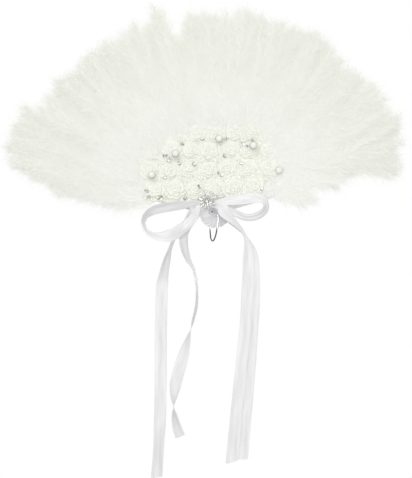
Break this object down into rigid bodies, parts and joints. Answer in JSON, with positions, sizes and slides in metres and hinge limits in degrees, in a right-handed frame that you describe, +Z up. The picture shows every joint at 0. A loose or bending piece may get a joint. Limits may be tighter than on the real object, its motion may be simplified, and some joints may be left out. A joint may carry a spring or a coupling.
{
  "type": "feather hand fan",
  "caption": "Open hand fan of plumed sticks on a rivet, with a panel of fabric roses, pearls, a brooch, a satin bow with hanging tails and a swinging wire bail.",
  "frame": {"origin": "on the rivet's axis, half way through the stack of sticks, where a hand holds the head of the fan", "axes": "+Z up along the middle of the open fan, +X to the viewer's right, -Y towards the front with the roses and bow"},
  "size_m": [0.4255, 0.0437, 0.5061],
  "materials": {
    "stick": "moulded white plastic, satin",
    "plume": "ivory marabou fluff",
    "rose": "warm ivory fabric",
    "panel": "ivory backing fabric",
    "pearl": "pearl lustre",
    "satin": "white satin ribbon",
    "steel": "polished steel wire",
    "brooch": "bright metal with clear stones"
  },
  "bodies": {
    "fan": {"rear_guard": "stick", "stave_1": "stick", "stave_2": "stick", "stave_3": "stick", "stave_4": "stick", "stave_5": "stick", "stave_6": "stick", "stave_7": "stick", "stave_8": "stick", "front_guard": "stick", "plume_01": "plume", "plume_02": "plume", "plume_03": "plume", "plume_04": "plume", "plume_05": "plume", "plume_06": "plume", "plume_07": "plume", "plume_08": "plume", "plume_09": "plume", "plume_10": "plume", "rivet": "steel", "rose_panel": "panel", "rose_01": "rose", "rose_02": "rose", "rose_03": "rose", "rose_04": "rose", "rose_05": "rose", "rose_06": "rose", "rose_07": "rose", "rose_08": "rose", "rose_09": "rose", "rose_10": "rose", "rose_11": "rose", "rose_12": "rose", "rose_13": "rose", "rose_14": "rose", "rose_15": "rose", "rose_16": "rose", "rose_17": "rose", "rose_18": "rose", "rose_19": "rose", "rose_20": "rose", "rose_21": "rose", "rose_22": "rose", "rose_23": "rose", "rose_24": "rose", "pearl_1": "pearl", "pearl_2": "pearl", "pearl_3": "pearl", "pearl_4": "pearl", "pearl_5": "pearl", "bow_knot": "satin", "bow_loop_left": "satin", "bow_loop_right": "satin", "tail_left_long": "satin", "tail_left_twisted": "satin", "tail_right_front": "satin", "tail_right_rear": "satin", "brooch": "brooch"},
    "bail": {"bail": "steel"}
  },
  "joints": [
    {"name": "bail_swing", "type": "hinge", "parent": "fan", "child": "bail", "pos_m": [0, 0, 0], "axis": [0, 1, 0], "range_deg": [-75, 75]}
  ]
}
